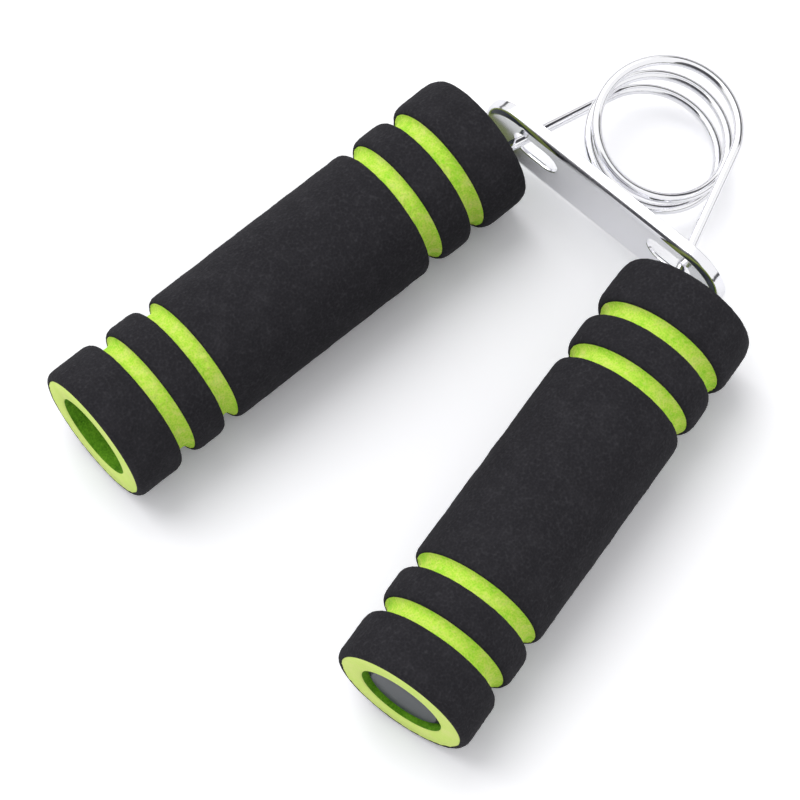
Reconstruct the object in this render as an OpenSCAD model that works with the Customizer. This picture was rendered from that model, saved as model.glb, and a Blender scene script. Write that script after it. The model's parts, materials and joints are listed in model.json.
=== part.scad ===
// Hand grip strengthener: two foam grips on the legs of one coiled spring.
// A chromed stay plate rides on the two legs and keeps them in line.
// Millimetres, +Z up. The strengthener lies flat, so both grips rest on z = 0.
// +Y points from the grips to the coil, and x = 0 halves the gap between the grips.
// The origin lies below the middle of the whole outline.

/* [Grips] */
// length of each foam grip
grip_l = 110; // [100:1:120]
// diameter of the green sleeve
sleeve_d = 30; // [28:0.1:33]
// thickness of the black skin in the band at each end of a grip
end_skin = 1.5; // [1.2:0.05:2]
// thickness of the black skin in the two slim rings of a grip
ring_skin = 1.2; // [0.9:0.05:1.8]
// thickness of the black skin in the long band in the middle of a grip
barrel_skin = 1; // [0.8:0.05:1.6]
// length of the band at each end of a grip
end_band_l = 11.5; // [9:0.5:14]
// length of each slim ring
ring_l = 7; // [5:0.5:9]
// width of the grooves between the bands
groove_w = 5; // [3:0.5:6]
// depth of the grooves below the green sleeve's surface
groove_cut = 2; // [1:0.1:2.5]
// angle of each grip from the middle line, in degrees
splay = 7.4; // [6:0.2:9]
// distance of a grip's axis from the middle line, at the top of its foam
top_x = 30.4; // [29:0.2:33]

/* [Core of a grip] */
// outer diameter of the core tube
tube_d = 20; // [18:0.5:21]
// wall of the core tube
tube_wall = 2.5; // [1.5:0.1:2.5]
// how deep the right grip's end plug sits in the foam
right_recess = 2; // [1:0.1:3.5]
// how deep the left grip's end plug sits in the foam
left_recess = 3.5; // [1:0.1:3.5]
// thickness of the plug's and the bush's flange
flange_t = 2; // [1.5:0.1:2.5]
// length of the plug's and the bush's spigot
spigot_l = 8; // [6:0.5:12]

/* [Spring] */
// diameter of the spring wire
wire_d = 2.4; // [2:0.1:2.6]
// mean radius of the coil
coil_r = 15.6; // [14:0.1:16.5]
// distance from the tops of the grips to the coil's axis
coil_y = 28; // [27:0.2:30]
// rise of the coil in one turn
pitch = 7.2; // [6.4:0.1:7.6]
// how much further apart the turns stand at the back than at the sides
fan = 1.1; // [0:0.1:2]
// whole turns of the coil between the two legs, on top of the last half turn
whole_turns = 2; // [1:1:2]
// lean of the coil's axis to the back and to the right, in degrees
coil_lean = [6, 11.6];
// distance of a leg from its grip's axis
leg_inset = 5.35; // [4.5:0.05:5.4]

/* [Stay plate] */
// length of the stay plate
plate_l = 68; // [64:0.5:74]
// width of the stay plate
plate_w = 20; // [18:0.5:24]
// depth of its turned rim
rim_h = 3.2; // [2.8:0.1:3.8]
// thickness of its sheet
sheet_t = 1; // [0.8:0.1:1.2]
// outer radius of the bend between its face and its rim
bend_r = 1.5; // [1.4:0.1:2]
// how far the middle of its face is pressed in, towards the coil
dish = 0.9; // [0.5:0.1:1.2]
// distance from the tops of the grips to the front of the plate
plate_y = 5.2; // [4.8:0.1:5.6]
// length of each slot
slot_l = 12.6; // [12:0.2:15]
// height of each slot
slot_h = 7.4; // [7.2:0.1:8]
// how far the plate hangs down on the legs
plate_sag = 1.2; // [1.1:0.1:1.4]

/* [Hidden] */

// colours
BLACK = [0.17, 0.17, 0.19];
GREEN = [0.56, 0.80, 0.20];
CHROME = [0.84, 0.84, 0.86];
PLUG = [0.33, 0.34, 0.36];
WHITE = [0.90, 0.90, 0.88];

// fits: a sliding piece, and a glued one
slide = 0.05;
glue = 0.02;

// the two sides: x of the right grip is positive
RIGHT = 1;
LEFT = -1;

sleeve_r = sleeve_d / 2;
end_r = sleeve_r + end_skin;
ring_r = sleeve_r + ring_skin;
barrel_r = sleeve_r + barrel_skin;
axis_z = end_r;
tube_r = tube_d / 2;
tube_bore_r = tube_r - tube_wall;
foam_bore_r = tube_r + slide;
wire_r = wire_d / 2;

// stations along a grip, from the top of the foam
band_1 = end_band_l;
ring_a = band_1 + groove_w;
ring_b = ring_a + ring_l;
barrel_a = ring_b + groove_w;
groove_mid = [
    band_1 + groove_w / 2,
    ring_b + groove_w / 2,
    grip_l - ring_b - groove_w / 2,
    grip_l - band_1 - groove_w / 2
];

// the core: both core tubes have one length, and the left one sits higher
tube_l = grip_l - 2 * right_recess - 2 * flange_t;
function tube_end(side) = grip_l - flange_t - (side == RIGHT ? right_recess : left_recess);

// ---- the spring's path, with the tops of the grips at y = 0 and their axes at z = 0

function unit(v) = v / norm(v);

// where a leg bends, just above the foam of its grip; the wire swells a little there
knee_up = 1.4;
knee_swell = 0.04;
function knee(side) = [
    side * (top_x - leg_inset * cos(splay) - knee_up * sin(splay)),
    knee_up * cos(splay) - leg_inset * sin(splay),
    0
];

// the coil's own axes: to the right, to the back and up
coil_u = [cos(coil_lean[1]), 0, -sin(coil_lean[1])];
coil_w = [
    sin(coil_lean[1]) * cos(coil_lean[0]),
    sin(coil_lean[0]),
    cos(coil_lean[1]) * cos(coil_lean[0])
];
coil_v = cross(coil_w, coil_u);
coil_mid = [-2, coil_y, -3.7];

// turning angles at which the wire leaves the coil, and the one at mid height
leave_right = 18;
leave_left = 163 + 360 * whole_turns;
mid_turn = leave_right + 0.55 * (leave_left - leave_right);

function coil_rise(a) = -(pitch + fan * sin(a)) * (a - mid_turn) / 360;
function coil_point(a) = coil_mid
    + coil_r * cos(a) * coil_u
    + coil_r * sin(a) * coil_v
    + coil_rise(a) * coil_w;
function coil_way(a) = unit(coil_point(a + 0.5) - coil_point(a - 0.5));

// the last bit of the coil eases into the straight leg along a cubic curve
ease = 40;
ease_pull = 4 / 3 * tan(ease / 4) * coil_r;
function cubic(a, b, c, d, t) = a * pow(1 - t, 3)
    + 3 * b * t * pow(1 - t, 2)
    + 3 * c * t * t * (1 - t)
    + d * t * t * t;

right_off = coil_point(leave_right);
left_off = coil_point(leave_left);
right_way = unit(knee(RIGHT) - right_off);
left_way = unit(knee(LEFT) - left_off);
right_in = coil_point(leave_right + ease);
left_in = coil_point(leave_left - ease);

// points along the coil, from the right leg to the left one
turn_step = 10;
ease_steps = 5;
turn_count = round((leave_left - leave_right - 2 * ease) / turn_step);
coil_path = concat(
    [right_off + wire_d * right_way],
    [for (i = [0 : ease_steps - 1]) cubic(
        right_off,
        right_off - ease_pull * right_way,
        right_in - ease_pull * coil_way(leave_right + ease),
        right_in,
        i / ease_steps
    )],
    [for (i = [0 : turn_count]) coil_point(
        leave_right + ease + i * (leave_left - leave_right - 2 * ease) / turn_count
    )],
    [for (i = [1 : ease_steps]) cubic(
        left_in,
        left_in + ease_pull * coil_way(leave_left - ease),
        left_off - ease_pull * left_way,
        left_off,
        i / ease_steps
    )],
    [left_off + wire_d * left_way]
);
last = len(coil_path) - 1;

// least gap between two turns, measured from point to point
turn_points = round(180 / turn_step);
coil_gap = min([
    for (i = [0 : last - turn_points])
        for (j = [i + turn_points : last])
            norm(coil_path[i] - coil_path[j])
]) - wire_d;
echo(str("least gap between the coil's turns, mm: ", coil_gap));

// the outline in y: the lowest edge of a grip's foam, and the back of the coil
low_y = -grip_l * cos(splay) - (end_r - end_skin * 0.7) * sin(splay);
back_y = max([for (p = coil_path) p[1]]) + wire_r;
shift_y = -(low_y + back_y) / 2;
echo(str("hinge axis, y mm: ", coil_y + shift_y, ", grip axes, z mm: ", axis_z));

// ---- helpers

module framed() {
    translate([0, shift_y, axis_z]) children();
}

// a grip's own axes: z runs down the grip from the top of its foam
module gripped(side) {
    framed()
        translate([side * top_x, 0, 0])
            rotate([0, 0, side * splay])
                rotate([90, 0, 0])
                    children();
}

module rod(from, to, r) {
    way = to - from;
    translate(from)
        rotate([0, acos(way[2] / norm(way)), atan2(way[1], way[0])])
            cylinder(h = norm(way), r = r, $fn = 48);
}

// a tube along the points, as one closed skin of triangles
module swept(path, r, sides, up) {
    n = len(path);
    rings = [
        for (i = [0 : n - 1])
            let (
                way = unit(path[min(i + 1, n - 1)] - path[max(i - 1, 0)]),
                out = unit(cross(way, up)),
                top = cross(out, way)
            )
            for (k = [0 : sides - 1])
                path[i] + r * cos(360 * k / sides) * out + r * sin(360 * k / sides) * top
    ];
    skin = [
        for (i = [0 : n - 2])
            for (k = [0 : sides - 1])
                let (
                    a = i * sides + k,
                    b = i * sides + (k + 1) % sides
                )
                each [[a, a + sides, b], [b, a + sides, b + sides]]
    ];
    near_cap = [for (k = [1 : sides - 2]) [0, k, k + 1]];
    base = (n - 1) * sides;
    far_cap = [for (k = [1 : sides - 2]) [base, base + k + 1, base + k]];
    polyhedron(points = rings, faces = concat(skin, near_cap, far_cap), convexity = 8);
}

// a band of black foam around the sleeve; its outer edges are rounded along edge_from and edge_to
module band(from, to, r, edge_from, edge_to) {
    drop = 0.85 * (r - sleeve_r);
    round = [for (a = [0 : 15 : 90]) [sin(a), 1 - cos(a)]];
    profile = concat(
        [[sleeve_r + glue, from]],
        [for (i = [0 : 6]) [r - drop + drop * round[i][0], from + edge_from * round[i][1]]],
        [for (i = [6 : -1 : 0]) [r - drop + drop * round[i][0], to - edge_to * round[i][1]]],
        [[sleeve_r + glue, to]]
    );
    color(BLACK) rotate_extrude($fn = 96) polygon(profile);
}

// ---- pieces of a grip, along its own z axis

module core_tube(side) {
    end = tube_end(side);
    color(WHITE)
        translate([0, 0, end - tube_l])
            difference() {
                cylinder(h = tube_l, r = tube_r, $fn = 96);
                translate([0, 0, -1]) cylinder(h = tube_l + 2, r = tube_bore_r, $fn = 96);
            }
}

module top_bush(side) {
    top = tube_end(side) - tube_l - flange_t;
    color(PLUG)
        difference() {
            union() {
                translate([0, 0, top]) cylinder(h = flange_t, r = tube_r, $fn = 96);
                translate([0, 0, top + flange_t - 0.5])
                    cylinder(h = spigot_l + 0.5, r = tube_bore_r - slide, $fn = 96);
            }
            translate([-side * leg_inset, 0, top - 1])
                cylinder(h = flange_t + spigot_l + 2, r = wire_r + slide, $fn = 48);
        }
}

// the plug's outer face is a raised disc inside a thin sunk line
module end_plug(side) {
    end = tube_end(side);
    line_r = tube_r - 1.6;
    profile = [
        [0, end - spigot_l],
        [tube_bore_r - slide - 0.5, end - spigot_l],
        [tube_bore_r - slide, end - spigot_l + 0.5],
        [tube_bore_r - slide, end],
        [tube_r, end],
        [tube_r, end + flange_t - 0.8],
        [tube_r - 0.5, end + flange_t - 0.4],
        [line_r + 0.25, end + flange_t - 0.4],
        [line_r + 0.15, end + flange_t - 0.7],
        [line_r - 0.15, end + flange_t - 0.7],
        [line_r - 0.4, end + flange_t],
        [0, end + flange_t]
    ];
    color(PLUG)
        difference() {
            rotate_extrude($fn = 96) polygon(profile);
            translate([-side * leg_inset, 0, end - spigot_l - 1])
                cylinder(h = 6, r = wire_r + slide, $fn = 48);
        }
}

module foam_sleeve() {
    steps = 12;
    profile = concat(
        [[foam_bore_r, 0], [sleeve_r, 0]],
        [
            for (m = groove_mid)
                for (i = [0 : steps])
                    let (a = 180 * i / steps)
                    [sleeve_r - groove_cut * sin(a), m - groove_w / 2 * cos(a)]
        ],
        [[sleeve_r, grip_l], [foam_bore_r, grip_l]]
    );
    color(GREEN) rotate_extrude($fn = 96) polygon(profile);
}

module top_band() band(0, band_1, end_r, 3.6, 2.2);
module top_ring() band(ring_a, ring_b, ring_r, 2, 2);
module barrel_band() band(barrel_a, grip_l - barrel_a, barrel_r, 1.6, 1.6);
module low_ring() band(grip_l - ring_b, grip_l - ring_a, ring_r, 2, 2);
module low_band() band(grip_l - band_1, grip_l, end_r, 2.2, 1.8);

// ---- the spring and the plate

module spring_coil() {
    color(CHROME) framed() swept(coil_path, wire_r, 12, coil_w);
}

// a leg runs straight from the coil to its knee, and then down the grip into the plug
module leg(side) {
    from = side == RIGHT ? coil_path[0] : coil_path[last];
    bend = knee(side);
    down = [side * sin(splay), -cos(splay), 0];
    foot = bend + (knee_up + tube_end(side) - spigot_l + 4.6) * down;
    color(CHROME)
        framed()
            union() {
                rod(from, bend, wire_r);
                translate(bend) sphere(r = wire_r + knee_swell, $fn = 48);
                rod(bend, foot, wire_r);
            }
}

// point of the plate's dished face, a share t of the way from its middle plane to the corner
function dished(t, face_w) = [t * face_w, dish * (1 - t * t)];

// section of the plate from its middle plane out to the rim, with a bent corner
module plate_section(half_w) {
    outer = bend_r;
    inner = outer - sheet_t;
    face_w = half_w - outer;
    rows = 6;
    polygon(concat(
        [for (i = [0 : rows - 1]) dished(i / rows, face_w)],
        [for (a = [-90 : 15 : 0]) [face_w + outer * cos(a), outer + outer * sin(a)]],
        [[half_w, rim_h], [half_w - sheet_t, rim_h]],
        [for (a = [0 : -15 : -90]) [face_w + inner * cos(a), outer + inner * sin(a)]],
        [for (i = [rows - 1 : -1 : 0]) dished(i / rows, face_w) + [0, sheet_t]]
    ));
}

// the plate is a shallow tray with round ends; its rim points to the coil
module stay_plate() {
    half_w = plate_w / 2;
    run = plate_l - plate_w;
    slot_end = knee(RIGHT)[0] - (plate_y - knee(RIGHT)[1]) * tan(20) + wire_d;
    color(CHROME)
        framed()
            translate([0, plate_y, -plate_sag])
                rotate([-90, 0, 0])
                    difference() {
                        union() {
                            for (s = [RIGHT, LEFT])
                                translate([s * run / 2, 0, 0])
                                    rotate([0, 0, -90 * s])
                                        rotate_extrude(angle = 180, $fn = 96)
                                            plate_section(half_w);
                            for (s = [0, 1])
                                mirror([0, s, 0])
                                    translate([-run / 2, 0, 0])
                                        rotate([90, 0, 90])
                                            linear_extrude(run)
                                                plate_section(half_w);
                        }
                        for (s = [RIGHT, LEFT])
                            translate([s * (slot_end - slot_l / 2), 0, -1])
                                slot(slot_l, slot_h, sheet_t + dish + 2);
                    }
}

module slot(l, h, t) {
    for (s = [-1, 1])
        translate([s * (l - h) / 2, 0, 0]) cylinder(h = t, r = h / 2, $fn = 64);
    translate([-(l - h) / 2, -h / 2, 0]) cube([l - h, h, t]);
}

spring_coil();
leg(RIGHT);  // right_leg
leg(LEFT);  // left_leg
stay_plate();
gripped(RIGHT) core_tube(RIGHT);  // right_core_tube
gripped(RIGHT) top_bush(RIGHT);  // right_top_bush
gripped(RIGHT) end_plug(RIGHT);  // right_end_plug
gripped(RIGHT) foam_sleeve();  // right_foam_sleeve
gripped(RIGHT) top_band();  // right_top_band
gripped(RIGHT) top_ring();  // right_top_ring
gripped(RIGHT) barrel_band();  // right_barrel_band
gripped(RIGHT) low_ring();  // right_low_ring
gripped(RIGHT) low_band();  // right_low_band
gripped(LEFT) core_tube(LEFT);  // left_core_tube
gripped(LEFT) top_bush(LEFT);  // left_top_bush
gripped(LEFT) end_plug(LEFT);  // left_end_plug
gripped(LEFT) foam_sleeve();  // left_foam_sleeve
gripped(LEFT) top_band();  // left_top_band
gripped(LEFT) top_ring();  // left_top_ring
gripped(LEFT) barrel_band();  // left_barrel_band
gripped(LEFT) low_ring();  // left_low_ring
gripped(LEFT) low_band();  // left_low_band
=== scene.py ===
# %% [markdown]
# # A hand grip strengthener in Blender
#
# Two foam grips sit on the legs of one coiled spring, and a pressed plate keeps the legs
# in line. The solid model already holds every piece at its real size, so this script
# adds what the eye looks for: the grain of the foam, the rough floor of its grooves,
# the smooth bends of wire and sheet, and a bright plating that mirrors the foam.

# %% Load the solid model
import json
import math

import bmesh
import bpy
from mathutils import Matrix, Vector, noise

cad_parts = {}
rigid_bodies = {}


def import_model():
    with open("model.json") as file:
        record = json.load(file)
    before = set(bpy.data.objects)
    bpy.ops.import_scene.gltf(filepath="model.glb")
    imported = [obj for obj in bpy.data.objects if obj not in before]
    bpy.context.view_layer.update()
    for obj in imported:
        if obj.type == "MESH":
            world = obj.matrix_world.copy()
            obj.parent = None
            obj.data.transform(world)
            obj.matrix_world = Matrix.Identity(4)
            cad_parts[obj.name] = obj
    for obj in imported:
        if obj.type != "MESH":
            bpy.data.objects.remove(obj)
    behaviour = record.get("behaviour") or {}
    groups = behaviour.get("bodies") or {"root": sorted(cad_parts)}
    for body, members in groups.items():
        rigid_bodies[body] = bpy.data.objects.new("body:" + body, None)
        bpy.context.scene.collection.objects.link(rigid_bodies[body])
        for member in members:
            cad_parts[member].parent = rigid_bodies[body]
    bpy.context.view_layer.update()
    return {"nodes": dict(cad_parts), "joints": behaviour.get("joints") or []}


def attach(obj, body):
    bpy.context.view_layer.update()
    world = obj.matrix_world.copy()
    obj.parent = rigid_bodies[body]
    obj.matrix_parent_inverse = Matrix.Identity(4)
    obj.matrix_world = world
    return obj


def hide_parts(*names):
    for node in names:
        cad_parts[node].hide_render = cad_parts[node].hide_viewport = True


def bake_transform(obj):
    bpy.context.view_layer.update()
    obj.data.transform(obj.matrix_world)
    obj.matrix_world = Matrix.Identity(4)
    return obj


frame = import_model()

# %% [markdown]
# ## Sizes
#
# The object's lengths are in millimetres, as a maker would write them, and `MM` turns them
# into Blender's metres. The camera, the cards and the wall are placed in metres. The hinge
# of the squeeze runs through the middle of the coil, so its place, which the solid model
# states, also says where the tops of the grips are. The grooves keep the solid model's
# middles but are narrower and shallower than its 5 by 2 millimetres, as on the real grips.

# %% Sizes in millimetres
MM = 0.001
GRIP_L = 110
SPLAY = math.radians(7.4)
TOP_X = 30.4
END_R, RING_R, BARREL_R, SLEEVE_R, BORE_R = 16.5, 16.2, 16, 15, 10.05
BAND, RING_L, GROOVE_W, GROOVE_CUT = 12, 8, 4, 1.6
WIRE_R = 1.2
COIL_Y = 28
hinge = frame["joints"][0]["pos_m"]
TOPS = Vector((0, hinge[1] / MM - COIL_Y, hinge[2] / MM))
SIDES = {"right": 1, "left": -1}
print("tops of the grips at y, z:", [round(v, 2) for v in TOPS[1:]])


def grip_place(side):
    """Matrix from a grip's own axes, z down the grip from its top, to the whole model."""
    turn = Matrix.Rotation(side * SPLAY, 4, "Z") @ Matrix.Rotation(math.radians(90), 4, "X")
    return Matrix.Translation(TOPS + Vector((side * TOP_X, 0, 0))) @ turn


# %% [markdown]
# ## Light, floor and camera
#
# The camera stands above the near ends of the grips and looks steeply down. The floor
# is white and takes the soft shadows. The camera sees it brighter than it lights the
# object, as on an overexposed table, so that it ends as plain white. A mirror sees it in
# between, which leaves the plating some grey to draw with. A broad sun from the left
# draws the shadows to the right of each grip, and an even sky fills the rest, at a level
# where a colour renders about as it is written.

# %% Camera
camera_data = bpy.data.cameras.new("camera")
camera_data.lens = 170.72
camera_data.sensor_width = 36
camera = bpy.data.objects.new("camera", camera_data)
camera.location = (0.214551, -0.256332, 0.770548)
camera.rotation_euler = [math.radians(a) for a in (22.724, 0.4036, 42.1614)]
bpy.context.scene.collection.objects.link(camera)
bpy.context.scene.camera = camera
bpy.context.scene.view_settings.view_transform = "Standard"
print("camera at", [round(v, 3) for v in camera.location], "lens", round(camera_data.lens))


# %% Node helpers
def new_node(tree, kind, x, y, **settings):
    """Add one node at x, y, and set its attributes or, by name, its inputs."""
    node = tree.nodes.new(kind)
    node.location = (x, y)
    for key, value in settings.items():
        if hasattr(node, key):
            setattr(node, key, value)
        else:
            node.inputs[key.replace("_", " ")].default_value = value
    return node


def direct_rays(tree, x, y):
    """One for a ray from the camera, from a mirror or through glass, else zero."""
    path = new_node(tree, "ShaderNodeLightPath", x, y)
    first = new_node(tree, "ShaderNodeMath", x + 180, y, operation="MAXIMUM")
    second = new_node(tree, "ShaderNodeMath", x + 360, y, operation="MAXIMUM")
    tree.links.new(path.outputs["Is Camera Ray"], first.inputs[0])
    tree.links.new(path.outputs["Is Glossy Ray"], first.inputs[1])
    tree.links.new(first.outputs[0], second.inputs[0])
    tree.links.new(path.outputs["Is Transmission Ray"], second.inputs[1])
    return second.outputs[0]


# %% Sky and sun
SKY = 0.66
SUN_FROM = Vector((-0.9, 0.1, 1.5))

world = bpy.data.worlds.new("studio")
bpy.context.scene.world = world
world.use_nodes = True
sky = world.node_tree
background = sky.nodes["Background"]
strength = new_node(sky, "ShaderNodeMix", -200, 0, data_type="FLOAT")
strength.inputs[2].default_value = SKY
strength.inputs[3].default_value = 1.0
sky.links.new(direct_rays(sky, -800, 0), strength.inputs[0])
sky.links.new(strength.outputs[0], background.inputs["Strength"])
background.inputs["Color"].default_value = (1, 1, 1, 1)

sun_data = bpy.data.lights.new("window", "SUN")
sun_data.energy = (1 - SKY) * math.pi / SUN_FROM.normalized().z
sun_data.angle = math.radians(55)
sun = bpy.data.objects.new("window", sun_data)
sun.rotation_euler = SUN_FROM.to_track_quat("Z", "Y").to_euler()
bpy.context.scene.collection.objects.link(sun)
print("sky", SKY, "sun", round(sun_data.energy, 2))


# %% Floor
FLOOR_LIT = (0.8, 0.8, 0.81, 1)
FLOOR_SEEN = (1.3, 1.3, 1.33, 1)
FLOOR_MIRRORED = (1.04, 1.04, 1.06, 1)


def floor_material():
    """White paint that keeps the shadows, brighter for whoever looks at it directly."""
    material = bpy.data.materials.new("floor_white")
    material.use_nodes = True
    tree = material.node_tree
    tree.nodes.clear()
    out = new_node(tree, "ShaderNodeOutputMaterial", 600, 0)
    paint = new_node(tree, "ShaderNodeBsdfDiffuse", 400, 0)
    shade = new_node(tree, "ShaderNodeMix", 0, 0, data_type="RGBA")
    shade.inputs[6].default_value = FLOOR_LIT
    shade.inputs[7].default_value = FLOOR_SEEN
    tree.links.new(direct_rays(tree, -600, 0), shade.inputs[0])
    path = new_node(tree, "ShaderNodeLightPath", 0, 400)
    mirrored = new_node(tree, "ShaderNodeMix", 200, 0, data_type="RGBA")
    mirrored.inputs[7].default_value = FLOOR_MIRRORED
    tree.links.new(path.outputs["Is Glossy Ray"], mirrored.inputs[0])
    tree.links.new(shade.outputs[2], mirrored.inputs[6])
    tree.links.new(mirrored.outputs[2], paint.inputs["Color"])
    tree.links.new(paint.outputs[0], out.inputs["Surface"])
    return material


def stage_sheet(name, size, place, material):
    """A flat square of the set, size metres from its middle to its edge."""
    sheet = bmesh.new()
    bmesh.ops.create_grid(sheet, x_segments=1, y_segments=1, size=size, matrix=place)
    data = bpy.data.meshes.new(name)
    sheet.to_mesh(data)
    sheet.free()
    data.materials.append(material)
    piece = bpy.data.objects.new(name, data)
    bpy.context.scene.collection.objects.link(piece)
    return piece


floor = stage_sheet("floor", 4, Matrix.Identity(4), floor_material())
print("floor:", [round(v, 1) for v in floor.dimensions[:2]], "m")

# %% [markdown]
# Plating has no colour of its own: it is drawn by what it mirrors. In an all-white room
# it would vanish, so a dark wall stands low all round, a tall dark card stands before the
# near ends of the grips, and a smaller one behind the coil. Only mirrors see them. The
# wall gives a wire its thin edge lines, and the cards give the dark streaks on the sides
# of the wires that face them. A card is given by its middle, half its width and half its
# height, in metres.


# %% Wall and cards
def dark_paint(name, level):
    """Matt dark paint with a touch of blue; level is its linear light."""
    material = bpy.data.materials.new(name)
    material.use_nodes = True
    shader = material.node_tree.nodes["Principled BSDF"]
    shader.inputs["Base Color"].default_value = (level, level, 1.1 * level, 1)
    shader.inputs["Specular IOR Level"].default_value = 0
    return material


def only_in_mirrors(piece):
    """Hide a piece of the set from everything but mirrors."""
    piece.visible_camera = piece.visible_diffuse = False
    piece.visible_shadow = piece.visible_transmission = False


CARDS = {
    "near_card": ((0.35, -1.1, 1.5), 0.85, 1.45),
    "far_card": ((0.15, 1.2, 1.03), 0.75, 0.48),
}
WALL_RADIUS, WALL_HEIGHT = 1.5, 0.24

card_black = dark_paint("card_black", 0.09)
for name, (middle, half_width, half_height) in CARDS.items():
    card_place = (
        Matrix.Translation(middle)
        @ Matrix.Rotation(math.radians(90), 4, "X")
        @ Matrix.Diagonal((half_width, half_height, 1, 1))
    )
    only_in_mirrors(stage_sheet(name, 1, card_place, card_black))

wall_mesh = bmesh.new()
bmesh.ops.create_circle(wall_mesh, segments=96, radius=WALL_RADIUS)
wall_geometry = bmesh.ops.extrude_edge_only(wall_mesh, edges=wall_mesh.edges[:])["geom"]
wall_top = [part for part in wall_geometry if isinstance(part, bmesh.types.BMVert)]
bmesh.ops.translate(wall_mesh, vec=(0, 0, WALL_HEIGHT), verts=wall_top)
wall_data = bpy.data.meshes.new("wall")
wall_mesh.to_mesh(wall_data)
wall_mesh.free()
wall_data.materials.append(dark_paint("wall_grey", 0.05))
wall = bpy.data.objects.new("wall", wall_data)
bpy.context.scene.collection.objects.link(wall)
only_in_mirrors(wall)
print("only in mirrors:", list(CARDS), wall.name)

# %% [markdown]
# ## Surface effects that several finishes share
#
# Closed-cell foam is a froth: seen from close by, its skin is full of tiny pits with
# brighter walls. The group `froth` makes that from two noises and a cell pattern and
# puts out a mask and slow patches for the colour and a height for the bump. Bright metal
# and moulded plastic are never quite clean, so the group `handled` gives them slow smears
# and fine dust.


# %% Froth and handling
def new_group(name, inputs, outputs):
    """An empty shader node group with float inputs, each with its value, and outputs."""
    group = bpy.data.node_groups.new(name, "ShaderNodeTree")
    for label, value in inputs.items():
        socket = group.interface.new_socket(label, in_out="INPUT", socket_type="NodeSocketFloat")
        socket.default_value = value
    for label in outputs:
        group.interface.new_socket(label, in_out="OUTPUT", socket_type="NodeSocketFloat")
    entry = new_node(group, "NodeGroupInput", -900, 0)
    leave = new_node(group, "NodeGroupOutput", 700, 0)
    return group, entry, leave


def object_noise(group, entry, scale_socket, factor, detail, x, y):
    """Noise on the piece's own coordinates, at a share of one of the group's scales."""
    place = new_node(group, "ShaderNodeTexCoord", x - 200, y - 200)
    scale = new_node(group, "ShaderNodeMath", x - 200, y, operation="MULTIPLY")
    scale.inputs[1].default_value = factor
    spread = new_node(group, "ShaderNodeTexNoise", x, y, Detail=detail, Roughness=0.6)
    group.links.new(entry.outputs[scale_socket], scale.inputs[0])
    group.links.new(scale.outputs[0], spread.inputs["Scale"])
    group.links.new(place.outputs["Object"], spread.inputs["Vector"])
    return spread.outputs[0]


def froth_group():
    """Mask: bright cell walls. Blotch: slow patches. Height: pits and lumps."""
    group, entry, leave = new_group("froth", {"Cells": 2200.0}, ["Mask", "Blotch", "Height"])
    place = new_node(group, "ShaderNodeTexCoord", -700, -400)
    cells = new_node(group, "ShaderNodeTexVoronoi", -450, -300, feature="F1")
    group.links.new(place.outputs["Object"], cells.inputs["Vector"])
    group.links.new(entry.outputs["Cells"], cells.inputs["Scale"])
    grain = object_noise(group, entry, "Cells", 0.7, 3.0, -450, 0)
    blotch = object_noise(group, entry, "Cells", 0.12, 4.0, -450, 300)
    walls = new_node(group, "ShaderNodeMath", -150, -200, operation="MULTIPLY")
    group.links.new(cells.outputs["Distance"], walls.inputs[0])
    group.links.new(grain, walls.inputs[1])
    height = new_node(group, "ShaderNodeMath", 100, -100, operation="ADD")
    group.links.new(walls.outputs[0], height.inputs[0])
    group.links.new(grain, height.inputs[1])
    group.links.new(walls.outputs[0], leave.inputs["Mask"])
    group.links.new(blotch, leave.inputs["Blotch"])
    group.links.new(height.outputs[0], leave.inputs["Height"])
    return group


def handled_group():
    """Smear: slow wipes for roughness or tint. Dust: fine grain for the height."""
    group, entry, leave = new_group("handled", {"Smears": 90.0}, ["Smear", "Dust"])
    smear = object_noise(group, entry, "Smears", 1.0, 5.0, -450, 200)
    dust = object_noise(group, entry, "Smears", 16.0, 2.0, -450, -200)
    group.links.new(smear, leave.inputs["Smear"])
    group.links.new(dust, leave.inputs["Dust"])
    return group


FROTH = froth_group()
HANDLED = handled_group()
print("groups:", FROTH.name, HANDLED.name)

# %% [markdown]
# ## Finishes
#
# A finish is a Principled BSDF whose colour, roughness and bump come from the groups.
# Colours are picked as screen values from 0 to 255 and turned into linear light here.
#
# Foam has two more values, both plain light levels. The light that it throws on what is
# near it is greyer than its own colour, so that a green groove leaves the floor white,
# and the plating mirrors it darker: painted shade that stands for the shade deep in the
# gap behind the plate.


# %% Helpers for finishes
def light_of(*screen):
    """Linear colour of a screen colour given from 0 to 255."""
    return [((v / 255 + 0.055) / 1.055) ** 2.4 if v > 10 else v / 255 / 12.92 for v in screen] + [1]


def new_finish(name, roughness, metallic=0.0, specular=0.5):
    """A material with its Principled shader; constants sit on the shader itself."""
    material = bpy.data.materials.new(name)
    material.use_nodes = True
    shader = material.node_tree.nodes["Principled BSDF"]
    shader.inputs["Roughness"].default_value = roughness
    shader.inputs["Metallic"].default_value = metallic
    shader.inputs["Specular IOR Level"].default_value = specular
    return material, material.node_tree, shader


def placed_group(tree, group, **values):
    """The group as a node of this material, with its own values."""
    node = new_node(tree, "ShaderNodeGroup", -900, 0, node_tree=group)
    for label, value in values.items():
        node.inputs[label].default_value = value
    return node


def colour_ramp(tree, source, stops, y=200):
    """Colours along a mask: stops are (position, screen colour)."""
    ramp = new_node(tree, "ShaderNodeValToRGB", -500, y)
    elements = ramp.color_ramp.elements
    while len(elements) < len(stops):
        elements.new(0.5)
    for element, (position, colour) in zip(elements, stops):
        element.position = position
        element.color = light_of(*colour)
    tree.links.new(source, ramp.inputs[0])
    return ramp.outputs[0]


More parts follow.
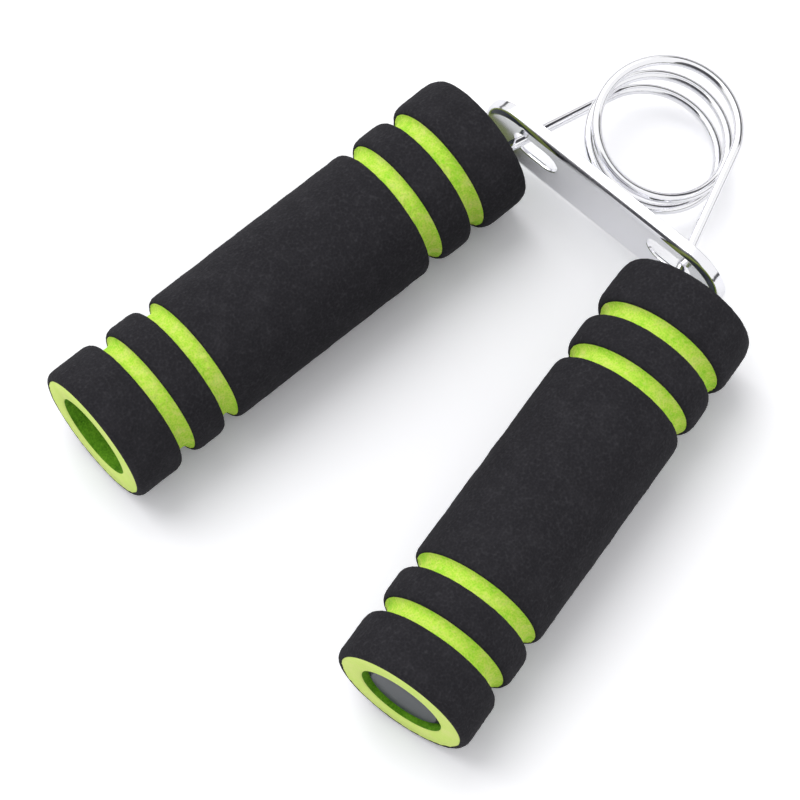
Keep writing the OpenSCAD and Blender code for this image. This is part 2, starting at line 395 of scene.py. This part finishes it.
def bump(tree, shader, height, distance, strength):
    """Feed a height into the shader's normal; distance is in millimetres."""
    node = new_node(tree, "ShaderNodeBump", -300, -300, Strength=strength, Distance=distance * MM)
    tree.links.new(height, node.inputs["Height"])
    tree.links.new(node.outputs[0], shader.inputs["Normal"])


# %% Foam finishes
GREEN_BOUNCE = (0.4, 0.5, 0.32)
BLACK_BOUNCE = (0.025, 0.025, 0.03)
# Painted shade: how dark a mirror sees the foam.
FOAM_SHADE_IN_MIRRORS = 0.3


def seen_indirectly(tree, colour, bounced, mirrored, x, y):
    """The colour, but greyer in the light it throws on, and with painted shade in a mirror."""
    path = new_node(tree, "ShaderNodeLightPath", x - 200, y + 300)
    grey = new_node(tree, "ShaderNodeMix", x, y, data_type="RGBA")
    grey.inputs[7].default_value = (*bounced, 1)
    tree.links.new(path.outputs["Is Diffuse Ray"], grey.inputs[0])
    tree.links.new(colour, grey.inputs[6])
    # Painted shade: a mirror sees the foam darkened, as the shaded gap behind the plate looks.
    dim = new_node(tree, "ShaderNodeMix", x + 200, y, data_type="RGBA", blend_type="MULTIPLY")
    dim.inputs[7].default_value = (mirrored, mirrored, mirrored, 1)
    tree.links.new(path.outputs["Is Glossy Ray"], dim.inputs[0])
    tree.links.new(grey.outputs[2], dim.inputs[6])
    return dim.outputs[2]


def foam_finish(name, dark, mid, pale, cells, depth, patches, bounced):
    """Matt foam: its colour runs over cell walls, with slow patches mixed in."""
    material, tree, shader = new_finish(name, roughness=0.93, specular=0.18)
    froth = placed_group(tree, FROTH, Cells=cells)
    walls = colour_ramp(tree, froth.outputs["Mask"], [(0.08, dark), (0.3, mid), (0.62, pale)])
    patch_stops = [(0.35, dark), (0.5, mid), (0.68, pale)]
    slow = colour_ramp(tree, froth.outputs["Blotch"], patch_stops, y=450)
    both = new_node(tree, "ShaderNodeMix", -150, 300, data_type="RGBA")
    both.inputs[0].default_value = patches
    tree.links.new(walls, both.inputs[6])
    tree.links.new(slow, both.inputs[7])
    seen = seen_indirectly(tree, both.outputs[2], bounced, FOAM_SHADE_IN_MIRRORS, 50, 500)
    tree.links.new(seen, shader.inputs["Base Color"])
    bump(tree, shader, froth.outputs["Height"], distance=depth, strength=0.8)
    return material


black_foam = foam_finish(
    "black_foam", (36, 35, 39), (43, 42, 46), (60, 59, 63),
    cells=1700.0, depth=0.14, patches=0.25, bounced=BLACK_BOUNCE,
)
green_ground = foam_finish(
    "green_foam_ground", (164, 240, 50), (218, 255, 92), (250, 255, 146),
    cells=2100.0, depth=0.18, patches=0.5, bounced=GREEN_BOUNCE,
)
green_cut = foam_finish(
    "green_foam_cut", (226, 255, 128), (234, 255, 142), (242, 255, 156),
    cells=1800.0, depth=0.05, patches=0.6, bounced=GREEN_BOUNCE,
)
# Painted shade: the bore's green is darker, standing for the shade deep inside the hole.
green_bore_shade = foam_finish(
    "green_foam_bore_painted_shade", (66, 120, 16), (96, 156, 28), (126, 186, 44),
    cells=2100.0, depth=0.2, patches=0.5, bounced=GREEN_BOUNCE,
)
print("foams:", black_foam.name, green_ground.name, green_cut.name, green_bore_shade.name)


# %% Plating
def bright_finish(name, colour, roughness, smears):
    """Bright plating: nearly a mirror, with faint smears and dust."""
    material, tree, shader = new_finish(name, roughness=roughness, metallic=1.0)
    shader.inputs["Base Color"].default_value = light_of(*colour)
    handled = placed_group(tree, HANDLED, Smears=smears)
    spread = new_node(tree, "ShaderNodeMapRange", -500, -100)
    spread.inputs["From Min"].default_value = 0.35
    spread.inputs["From Max"].default_value = 0.7
    spread.inputs["To Min"].default_value = roughness * 0.6
    spread.inputs["To Max"].default_value = roughness * 1.8
    tree.links.new(handled.outputs["Smear"], spread.inputs["Value"])
    tree.links.new(spread.outputs[0], shader.inputs["Roughness"])
    bump(tree, shader, handled.outputs["Dust"], distance=0.01, strength=0.15)
    return material


bright_wire = bright_finish("bright_wire", (246, 246, 249), roughness=0.11, smears=120.0)
bright_sheet = bright_finish("bright_sheet", (244, 244, 248), roughness=0.13, smears=70.0)
print("platings:", bright_wire.name, bright_sheet.name)


# %% Plastics
def moulded_finish(name, colour, paler, roughness):
    """Smooth moulded plastic with a fine spark-eroded grain."""
    material, tree, shader = new_finish(name, roughness=roughness)
    handled = placed_group(tree, HANDLED, Smears=160.0)
    tint = colour_ramp(tree, handled.outputs["Smear"], [(0.3, colour), (0.75, paler)])
    tree.links.new(tint, shader.inputs["Base Color"])
    bump(tree, shader, handled.outputs["Dust"], distance=0.02, strength=0.3)
    return material


grey_plastic = moulded_finish("grey_plastic", (42, 48, 58), (52, 58, 68), roughness=0.38)
core_plastic = moulded_finish("core_plastic", (206, 206, 200), (222, 222, 216), roughness=0.5)
print("plastics:", grey_plastic.name, core_plastic.name)

# %% [markdown]
# ## Turned pieces
#
# Sleeve, skins and plugs are all round, so each is half a section spun about the grip's
# axis. The section is a closed loop of a few points: its flat runs get more points where
# the surface should be uneven, because a spun ring can only wobble where it has
# vertices. Foam is cut with a hot wire or ground on a lathe, which leaves it slightly
# lumpy, so its points are then moved in and out by a seeded noise.


# %% Spin a section
def spun(section, steps):
    """Closed ring spun from (radius, z) points in millimetres about the z axis."""
    ring = bmesh.new()
    points = [ring.verts.new((r, 0, z)) for r, z in section]
    for a, b in zip(points, points[1:] + points[:1]):
        ring.edges.new((a, b))
    bmesh.ops.spin(
        ring,
        geom=ring.verts[:] + ring.edges[:],
        cent=(0, 0, 0),
        axis=(0, 0, 1),
        angle=math.tau,
        steps=steps,
        use_merge=True,
    )
    bmesh.ops.remove_doubles(ring, verts=ring.verts, dist=0.001)
    bmesh.ops.recalc_face_normals(ring, faces=ring.faces)
    return ring


def make_piece(name, mesh, place, materials, body, nodes):
    """Turn a bmesh in millimetres into a smooth piece that rides on a body."""
    bmesh.ops.transform(mesh, matrix=place, verts=mesh.verts)
    bmesh.ops.scale(mesh, vec=(MM, MM, MM), verts=mesh.verts)
    for face in mesh.faces:
        face.smooth = True
    data = bpy.data.meshes.new(name)
    mesh.to_mesh(data)
    mesh.free()
    piece = bpy.data.objects.new(name, data)
    for material in materials:
        data.materials.append(material)
    bpy.context.scene.collection.objects.link(piece)
    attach(piece, body)
    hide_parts(*nodes)
    return piece


def rounded(r_in, r_out, start, end, edge_start, edge_end, rows):
    """Section of a band whose two outer edges are quarters of an ellipse."""
    drop = 0.85 * (r_out - r_in)
    shoulder = r_out - drop
    quarter = [math.radians(15 * i) for i in range(7)]
    first = [
        (shoulder + drop * math.sin(a), start + edge_start * (1 - math.cos(a))) for a in quarter
    ]
    last = [
        (shoulder + drop * math.sin(a), end - edge_end * (1 - math.cos(a)))
        for a in quarter[::-1]
    ]
    low, high = first[-1][1], last[0][1]
    flat = [(r_out, low + (high - low) * i / rows) for i in range(1, rows)]
    return [(r_in, start)] + first + flat + last + [(r_in, end)]


def roughen(mesh, seed, grain, lumps, keep_below):
    """Move points by noise: grain is fine and lumps are slow, both in millimetres."""
    shift = Vector((seed * 37.1, seed * 11.3, seed * 5.7))
    for vert in mesh.verts:
        out = Vector((vert.co.x, vert.co.y, 0))
        if out.length < keep_below:
            continue
        fine = noise.noise(vert.co * 1.3 + shift) * grain
        slow = noise.noise(vert.co * 0.22 + shift) * lumps
        vert.co += out.normalized() * (fine + slow)
        vert.co.z += 0.6 * noise.noise(vert.co * 0.9 - shift) * grain


# %% [markdown]
# ## Black skins
#
# Each grip wears five black bands. They are what is left of one black outer layer after
# the grooves were ground through it, so their edges are rounded over and not quite true.
# A skin is given by its radius, where it starts and ends down the grip, how long the
# rounding of each edge is, and how many rows it has between them. Its inside stands off
# the sleeve by a hair, `SKIN_FIT`, so that no two surfaces lie in one place.

# %% Make the skins
RING_A, RING_B = BAND + GROOVE_W, BAND + GROOVE_W + RING_L
BARREL_A = RING_B + GROOVE_W
SKIN_FIT = 0.02
SKINS = {
    "top_band": (END_R, 0, BAND, 3.6, 2.2, 14),
    "top_ring": (RING_R, RING_A, RING_B, 2.0, 2.0, 8),
    "barrel_band": (BARREL_R, BARREL_A, GRIP_L - BARREL_A, 1.6, 1.6, 70),
    "low_ring": (RING_R, GRIP_L - RING_B, GRIP_L - RING_A, 2.0, 2.0, 8),
    "low_band": (END_R, GRIP_L - BAND, GRIP_L, 2.2, 1.8, 14),
}
for word, side in SIDES.items():
    for number, (part, (radius, start, end, edge_a, edge_b, rows)) in enumerate(SKINS.items()):
        skin = spun(rounded(SLEEVE_R + SKIN_FIT, radius, start, end, edge_a, edge_b, rows), 192)
        seed = 3 * number + side
        roughen(skin, seed, grain=0.09, lumps=0.1, keep_below=SLEEVE_R + 0.05)
        name = f"{word}_{part}"
        piece = make_piece(
            f"{name}_foam",
            skin,
            grip_place(side),
            [black_foam],
            f"{word}_arm",
            [name],
        )
print("skins:", 2 * len(SKINS))

# %% [markdown]
# ## Green sleeves
#
# The sleeve shows in four grooves, in both end faces and in the bore. A groove's section
# is half an ellipse. The ground floor of the grooves is rougher than the cut end faces,
# and the bore is painted darker than both, as painted shade for the dark deep in the hole.
# So there are three finishes, and a face's finish is picked by where its middle lies.


# %% Make the sleeves
EDGE, MOUTH_W, MOUTH_DEEP = 0.15, 0.35, 0.3


def sleeve_section(fine=22):
    """Section of the sleeve: broken edges, fine rows in the grooves, an eased mouth."""
    points = [(BORE_R, 0), (BORE_R + MOUTH_W, 0), (SLEEVE_R - EDGE, 0), (SLEEVE_R, EDGE)]
    middles = [BAND + GROOVE_W / 2, RING_B + GROOVE_W / 2]
    for middle in middles + [GRIP_L - m for m in middles[::-1]]:
        for i in range(fine + 1):
            a = math.pi * i / fine
            points.append(
                (SLEEVE_R - GROOVE_CUT * math.sin(a), middle - GROOVE_W / 2 * math.cos(a))
            )
    points += [(SLEEVE_R, GRIP_L - EDGE), (SLEEVE_R - EDGE, GRIP_L)]
    points += [(BORE_R + MOUTH_W, GRIP_L), (BORE_R, GRIP_L - MOUTH_DEEP)]
    return points


for word, side in SIDES.items():
    sleeve = spun(sleeve_section(), 240)
    for face in sleeve.faces:
        middle = face.calc_center_median()
        if Vector((middle.x, middle.y)).length < BORE_R + 0.1:
            # The bore's faces get the darker green of painted shade.
            face.material_index = 2
        elif middle.z < 0.2 or middle.z > GRIP_L - 0.2:
            face.material_index = 1
    roughen(sleeve, 20 + side, grain=0.16, lumps=0.05, keep_below=BORE_R + 2)
    piece = make_piece(
        f"{word}_sleeve_foam",
        sleeve,
        grip_place(side),
        [green_ground, green_cut, green_bore_shade],
        f"{word}_arm",
        [f"{word}_foam_sleeve"],
    )
print("points in a sleeve's section:", len(sleeve_section()))

# %% [markdown]
# ## End plugs
#
# A moulded plug closes the lower end of each core tube. Its face is a flat disc inside a
# thin sunk line, and outside the line the flange falls away like a shallow cone. The right
# plug nearly reaches the mouth of its bore and the left one sits deeper. The numbers say
# how far down its grip each disc lies.

# %% Make the plugs
PLUG_END = {"right": 108.9, "left": 106.5}
SPIGOT_R, SPIGOT_L = 7.45, 8
FLANGE_R, FLANGE_T = 10.0, 2
LINE_R, LINE_DEEP = 8.5, 0.55
DISC_R, DISC_RISE = 8.0, 0.03


def plug_section(end):
    """Section of a plug whose disc lies at end, from the tip of its spigot to the disc."""
    root = end - FLANGE_T
    tip = root - SPIGOT_L
    spigot = [(0.0, tip), (SPIGOT_R - 0.45, tip), (SPIGOT_R, tip + 0.5), (SPIGOT_R, root)]
    flange = [(FLANGE_R, root), (FLANGE_R, end - 1.25), (FLANGE_R - 0.2, end - 0.95)]
    outer_wall = [(LINE_R + 0.25, end - 0.3), (LINE_R + 0.1, end - LINE_DEEP)]
    inner_wall = [(LINE_R - 0.1, end - LINE_DEEP), (LINE_R - 0.25, end - 0.08)]
    disc = [(DISC_R, end), (DISC_R / 2, end + 0.02), (0.0, end + DISC_RISE)]
    return spigot + flange + outer_wall + inner_wall + disc


for word, side in SIDES.items():
    plug = spun(plug_section(PLUG_END[word]), 128)
    piece = make_piece(
        f"{word}_plug_moulded",
        plug,
        grip_place(side),
        [grey_plastic],
        f"{word}_arm",
        [f"{word}_end_plug"],
    )
    piece.data.set_sharp_from_angle(angle=math.radians(35))
    print(word, "plug lies", round(GRIP_L - PLUG_END[word], 1), "mm inside its bore")

# %% [markdown]
# ## Core tubes and bushes
#
# The tube and the bush of each grip are hidden in the foam, and only the bush shows
# from behind. Their solids are exact, so they keep their shape and only get a finish.


# %% Finish the cores
def dress(node, material):
    """Give a node of the solid model one new finish."""
    data = frame["nodes"][node].data
    data.materials.clear()
    data.materials.append(material)


for word in SIDES:
    dress(f"{word}_core_tube", core_plastic)
    dress(f"{word}_top_bush", grey_plastic)
print("dressed:", len(SIDES), "tubes and", len(SIDES), "bushes")

# %% [markdown]
# ## The spring
#
# One wire makes the whole spring. It comes up out of the right grip, winds two and a
# half turns and goes down into the left grip. The turns fan out towards the back, so
# the rise of a turn depends on where it is round the coil. The wire is a curve with a
# round bevel, which keeps its section true on every bend, and is then made a mesh.
#
# A leg leaves the coil at a turning angle, `LEAVE_RIGHT` or `LEAVE_LEFT`, and the wire
# eases from the leg's line into the round over `EASE` degrees. The grips swing about the
# coil, which is made as an upper and a lower half.

# %% Path of the coil
COIL_R, PITCH, FAN = 15.6, 7.2, 1.1
LEAN_BACK, LEAN_SIDE = math.radians(6), math.radians(11.6)
LEG_INSET, KNEE_UP = 5.35, 1.4
LEAVE_RIGHT, LEAVE_LEFT, EASE = 18, 883, 40
UPPER_SHARE = 0.55
MID_TURN = LEAVE_RIGHT + UPPER_SHARE * (LEAVE_LEFT - LEAVE_RIGHT)
coil_u = Vector((math.cos(LEAN_SIDE), 0, -math.sin(LEAN_SIDE)))
coil_w = Vector(
    (
        math.sin(LEAN_SIDE) * math.cos(LEAN_BACK),
        math.sin(LEAN_BACK),
        math.cos(LEAN_SIDE) * math.cos(LEAN_BACK),
    )
)
coil_v = coil_w.cross(coil_u)
coil_mid = Vector((-2, COIL_Y, -3.7))


def coil_point(turn):
    """Point of the coil at a turning angle in degrees."""
    a = math.radians(turn)
    rise = -(PITCH + FAN * math.sin(a)) * (turn - MID_TURN) / 360
    return coil_mid + COIL_R * (math.cos(a) * coil_u + math.sin(a) * coil_v) + rise * coil_w


def coil_way(turn):
    """Direction of the wire at a turning angle."""
    return (coil_point(turn + 0.5) - coil_point(turn - 0.5)).normalized()


def knee(side):
    """Where a leg bends, just above its grip."""
    across = TOP_X - LEG_INSET * math.cos(SPLAY) - KNEE_UP * math.sin(SPLAY)
    return Vector((side * across, KNEE_UP * math.cos(SPLAY) - LEG_INSET * math.sin(SPLAY), 0))


def cubic(a, b, c, d, t):
    """Point at share t of the curve from a to d, which b and c pull on."""
    s = 1 - t
    return a * s**3 + 3 * b * t * s * s + 3 * c * t * t * s + d * t**3


def eased_end(turn, inner, side, steps=16):
    """Points from the coil's end, where the leg leaves, to its true round part."""
    off, rejoin = coil_point(turn), coil_point(inner)
    way = (knee(side) - off).normalized()
    pull = 4 / 3 * math.tan(math.radians(EASE) / 4) * COIL_R
    sense = 1 if inner > turn else -1
    curve = [
        cubic(off, off - pull * way, rejoin - sense * pull * coil_way(inner), rejoin, i / steps)
        for i in range(steps)
    ]
    return [off + 2 * WIRE_R * way] + curve


def turns(start, end, step=2.5):
    """Points of the coil between two turning angles, about step degrees apart."""
    count = round(abs(end - start) / step)
    return [coil_point(start + (end - start) * i / count) for i in range(count + 1)]


upper_path = eased_end(LEAVE_RIGHT, LEAVE_RIGHT + EASE, 1) + turns(LEAVE_RIGHT + EASE, MID_TURN)
lower_path = eased_end(LEAVE_LEFT, LEAVE_LEFT - EASE, -1) + turns(LEAVE_LEFT - EASE, MID_TURN)
print("coil path points:", len(upper_path), len(lower_path))


# %% Draw wire along a path
def wire_mesh(name, path):
    """Mesh of round wire along points in millimetres, closed at both ends."""
    curve = bpy.data.curves.new(name, "CURVE")
    curve.dimensions = "3D"
    curve.bevel_depth = WIRE_R * MM
    curve.bevel_resolution = 8
    curve.use_fill_caps = True
    line = curve.splines.new("POLY")
    line.points.add(len(path) - 1)
    for point, co in zip(line.points, path):
        point.co = (*((co + TOPS) * MM), 1)
    holder = bpy.data.objects.new(name + "_curve", curve)
    data = bpy.data.meshes.new_from_object(holder)
    bpy.data.objects.remove(holder)
    bpy.data.curves.remove(curve)
    for polygon in data.polygons:
        polygon.use_smooth = len(polygon.vertices) == 4
    return data


def wire_piece(name, path, nodes):
    """Piece of bright wire that stands in for nodes of the solid model."""
    piece = bpy.data.objects.new(name, wire_mesh(name, path))
    piece.data.name = name
    piece.data.materials.append(bright_wire)
    bpy.context.scene.collection.objects.link(piece)
    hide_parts(*nodes)
    return piece


upper_coil = wire_piece("coil_upper_half", upper_path, ["spring_coil"])
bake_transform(upper_coil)
lower_coil = wire_piece("coil_lower_half", lower_path, ["spring_coil"])
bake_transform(lower_coil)
print("coil faces:", len(upper_coil.data.polygons), len(lower_coil.data.polygons))

# %% [markdown]
# ## The legs
#
# A leg runs straight from the coil through its slot, bends by about eleven degrees where it
# enters the bush and ends in the plug, `INTO_PLUG` short of its disc. The bend is a short
# curve between the two straight runs.


# %% Make the legs
KNEE_REACH, INTO_PLUG = 0.9, 5.5


def leg_path(side, end, steps=10):
    """Points from the coil down a leg that ends this far below the top of its grip."""
    turn = LEAVE_RIGHT if side > 0 else LEAVE_LEFT
    off = coil_point(turn)
    corner = knee(side)
    way = (corner - off).normalized()
    down = Vector((side * math.sin(SPLAY), -math.cos(SPLAY), 0))
    before, after = corner - KNEE_REACH * way, corner + KNEE_REACH * down
    bend = [cubic(before, corner, corner, after, i / steps) for i in range(steps + 1)]
    return [off + 2 * WIRE_R * way] + bend + [corner + (KNEE_UP + end) * down]


for word, side in SIDES.items():
    path = leg_path(side, PLUG_END[word] - INTO_PLUG)
    leg = wire_piece(f"{word}_leg_wire", path, [f"{word}_leg"])
    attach(leg, f"{word}_arm")
    print(word, "leg, mm:", round((path[-1] - path[0]).length, 1))

# %% [markdown]
# ## The stay plate
#
# The plate is pressed from one sheet: a long face with round ends, a rim turned back
# towards the coil all round, and two punched slots in which the legs can move. Its face
# is dished a little, so that it mirrors the floor from near to far. One half is laid out
# as rings that start at the edge of the slot and end at the border of the face; the bend
# and the rim follow the border. The other half is its mirror image. A slot ends a wire's
# thickness outside its leg, which slants inwards by `LEG_SLANT` between grip and plate.
# The sheet gets its thickness and its broken edges last.

# %% Make the plate
PLATE_L, PLATE_W, RIM, SHEET, BEND, DISH = 68.0, 20.0, 3.2, 1.0, 1.5, 0.9
PLATE_Y, PLATE_SAG = 5.2, 1.2
SLOT_L, SLOT_H = 12.6, 7.4
LEG_SLANT = math.radians(20)
SLOT_END = knee(1).x - (PLATE_Y - knee(1).y) * math.tan(LEG_SLANT) + 2 * WIRE_R
FACE_HALF, NOSE_X = PLATE_W / 2 - BEND, (PLATE_L - PLATE_W) / 2


def half_border(steps=36):
    """Points and outward directions along the border of the right half of the face."""
    across = [NOSE_X * i / steps for i in range(steps)]
    turn = [math.radians(180 * i / steps - 90) for i in range(steps + 1)]
    out = [Vector((math.cos(a), math.sin(a), 0)) for a in turn]
    low = [(Vector((x, -FACE_HALF, 0)), Vector((0, -1, 0))) for x in across]
    nose = [(Vector((NOSE_X, 0, 0)) + FACE_HALF * way, way) for way in out]
    high = [(Vector((x, FACE_HALF, 0)), Vector((0, 1, 0))) for x in across[::-1]]
    return low + nose + high


def slot_point(target):
    """Where the line from the slot's middle to a point crosses the slot's edge."""
    middle = Vector((SLOT_END - SLOT_L / 2, 0, 0))
    way = (target - middle).normalized()
    straight, radius = (SLOT_L - SLOT_H) / 2, SLOT_H / 2
    if radius * abs(way.x) <= straight * abs(way.y):
        return middle + way * radius / abs(way.y)
    round_part = math.sqrt(radius**2 - (straight * way.y) ** 2)
    return middle + way * (straight * abs(way.x) + round_part)


def dished(point):
    """The point, moved back by the dish of the face."""
    off_middle = Vector((max(point.x - NOSE_X, 0), point.y)).length / FACE_HALF
    return Vector((point.x, point.y, DISH * (1 - off_middle**2)))


def strip(mesh, rows, closed):
    """Faces between rows of points; closed rows run round, open ones end."""
    made = [[mesh.verts.new(point) for point in row] for row in rows]
    for one, two in zip(made, made[1:]):
        for i in range(0 if closed else 1, len(one)):
            mesh.faces.new((one[i - 1], one[i], two[i], two[i - 1]))


def plate_mesh(rows=14):
    """Outer skin of the plate: the border of its face at z = 0, the rim towards +z."""
    mesh = bmesh.new()
    border = half_border()
    seam = [Vector((0, FACE_HALF * (1 - i / 12), 0)) for i in range(1, 24)]
    loop = [point for point, _ in border] + seam
    face_rows = [
        [dished(slot_point(point).lerp(point, i / rows)) for point in loop]
        for i in range(rows + 1)
    ]
    strip(mesh, face_rows, closed=True)
    bend = [math.pi / 16 * i for i in range(9)]
    profile = [(BEND * math.sin(a), BEND * (1 - math.cos(a))) for a in bend] + [(BEND, RIM)]
    side_rows = [
        [point + out * way + Vector((0, 0, z)) for point, way in border] for out, z in profile
    ]
    strip(mesh, side_rows, closed=False)
    half = mesh.verts[:] + mesh.edges[:] + mesh.faces[:]
    bmesh.ops.mirror(mesh, geom=half, axis="X", merge_dist=0)
    bmesh.ops.remove_doubles(mesh, verts=mesh.verts, dist=0.001)
    bmesh.ops.recalc_face_normals(mesh, faces=mesh.faces)
    if min(mesh.faces, key=lambda face: face.calc_center_median().z).normal.z > 0:
        bmesh.ops.reverse_faces(mesh, faces=mesh.faces)
    return mesh


plate_place = (
    Matrix.Translation(TOPS + Vector((0, PLATE_Y, -PLATE_SAG)))
    @ Matrix.Rotation(math.radians(-90), 4, "X")
)
plate = make_piece(
    "stay_plate_pressed",
    plate_mesh(),
    plate_place,
    [bright_sheet],
    "spring_and_plate",
    ["stay_plate"],
)
thickness = plate.modifiers.new("sheet", "SOLIDIFY")
thickness.thickness = SHEET * MM
thickness.offset = -1
thickness.use_even_offset = True
edges = plate.modifiers.new("broken edges", "BEVEL")
edges.width = 0.2 * MM
edges.segments = 3
edges.limit_method = "ANGLE"
edges.angle_limit = math.radians(50)
face_weights = plate.modifiers.new("flat face", "WEIGHTED_NORMAL")
face_weights.keep_sharp = True
print("plate skin faces:", len(plate.data.polygons))

# %% [markdown]
# ## Face counts
#
# The last cell prints how many faces each mesh has.

# %% Count faces
for obj in bpy.context.scene.objects:
    if obj.type == "MESH":
        print(obj.name, len(obj.data.polygons), "faces")
